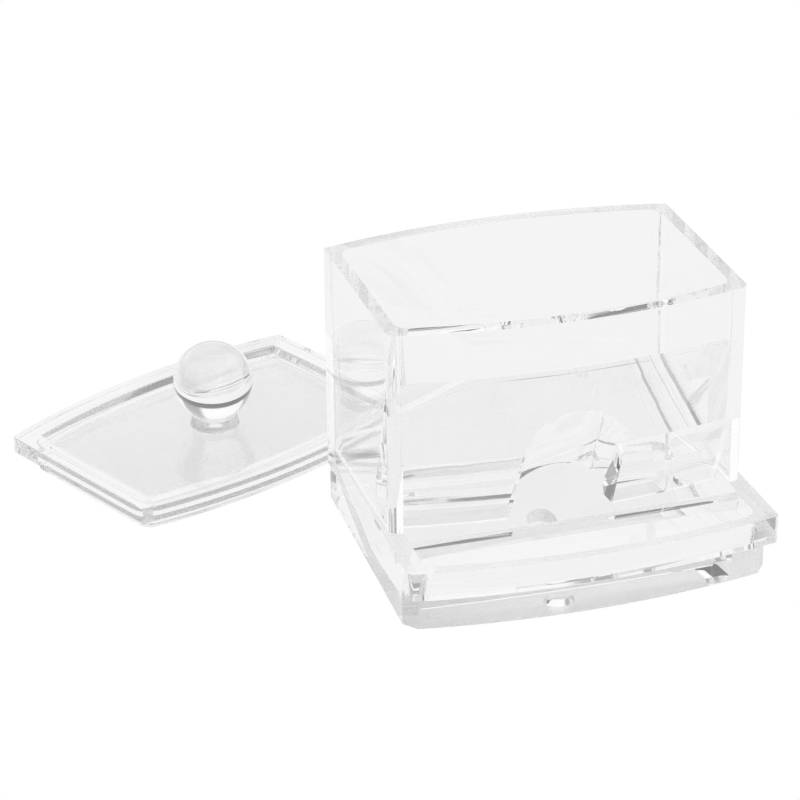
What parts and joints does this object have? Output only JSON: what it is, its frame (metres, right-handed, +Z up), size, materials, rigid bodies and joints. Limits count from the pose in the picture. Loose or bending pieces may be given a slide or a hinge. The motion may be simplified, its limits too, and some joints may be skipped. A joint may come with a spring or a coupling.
{
  "type": "cotton swab dispenser box",
  "caption": "Clear moulded box for cotton swabs: hopper with arched front panel on a flared tray with ramp, and a loose lid with ball knob lying beside it.",
  "frame": {"origin": "on the underside of the tray's solid foot pad, on the left-right centre line, below the middle of the tray floor", "axes": "+X to the right seen from the front, +Y towards the back, +Z up through the hopper's open rim"},
  "size_m": [0.1682, 0.1618, 0.0707],
  "materials": {
    "clear_box": "clear polished moulded plastic, see-through",
    "clear_tray": "clear polished moulded plastic with a fine-textured pad on the floor",
    "clear_lid": "clear polished moulded plastic with a fine-textured panel underside",
    "clear_knob": "clear polished solid ball"
  },
  "bodies": {
    "box": {"hopper_box": "clear_box", "base_tray": "clear_tray"},
    "lid": {"lid_plate": "clear_lid", "ball_knob": "clear_knob"}
  },
  "joints": [
    {"name": "lid_lift", "type": "slide", "parent": "box", "child": "lid", "axis": [0, 0, 1], "range_m": [0, 0.1]}
  ]
}
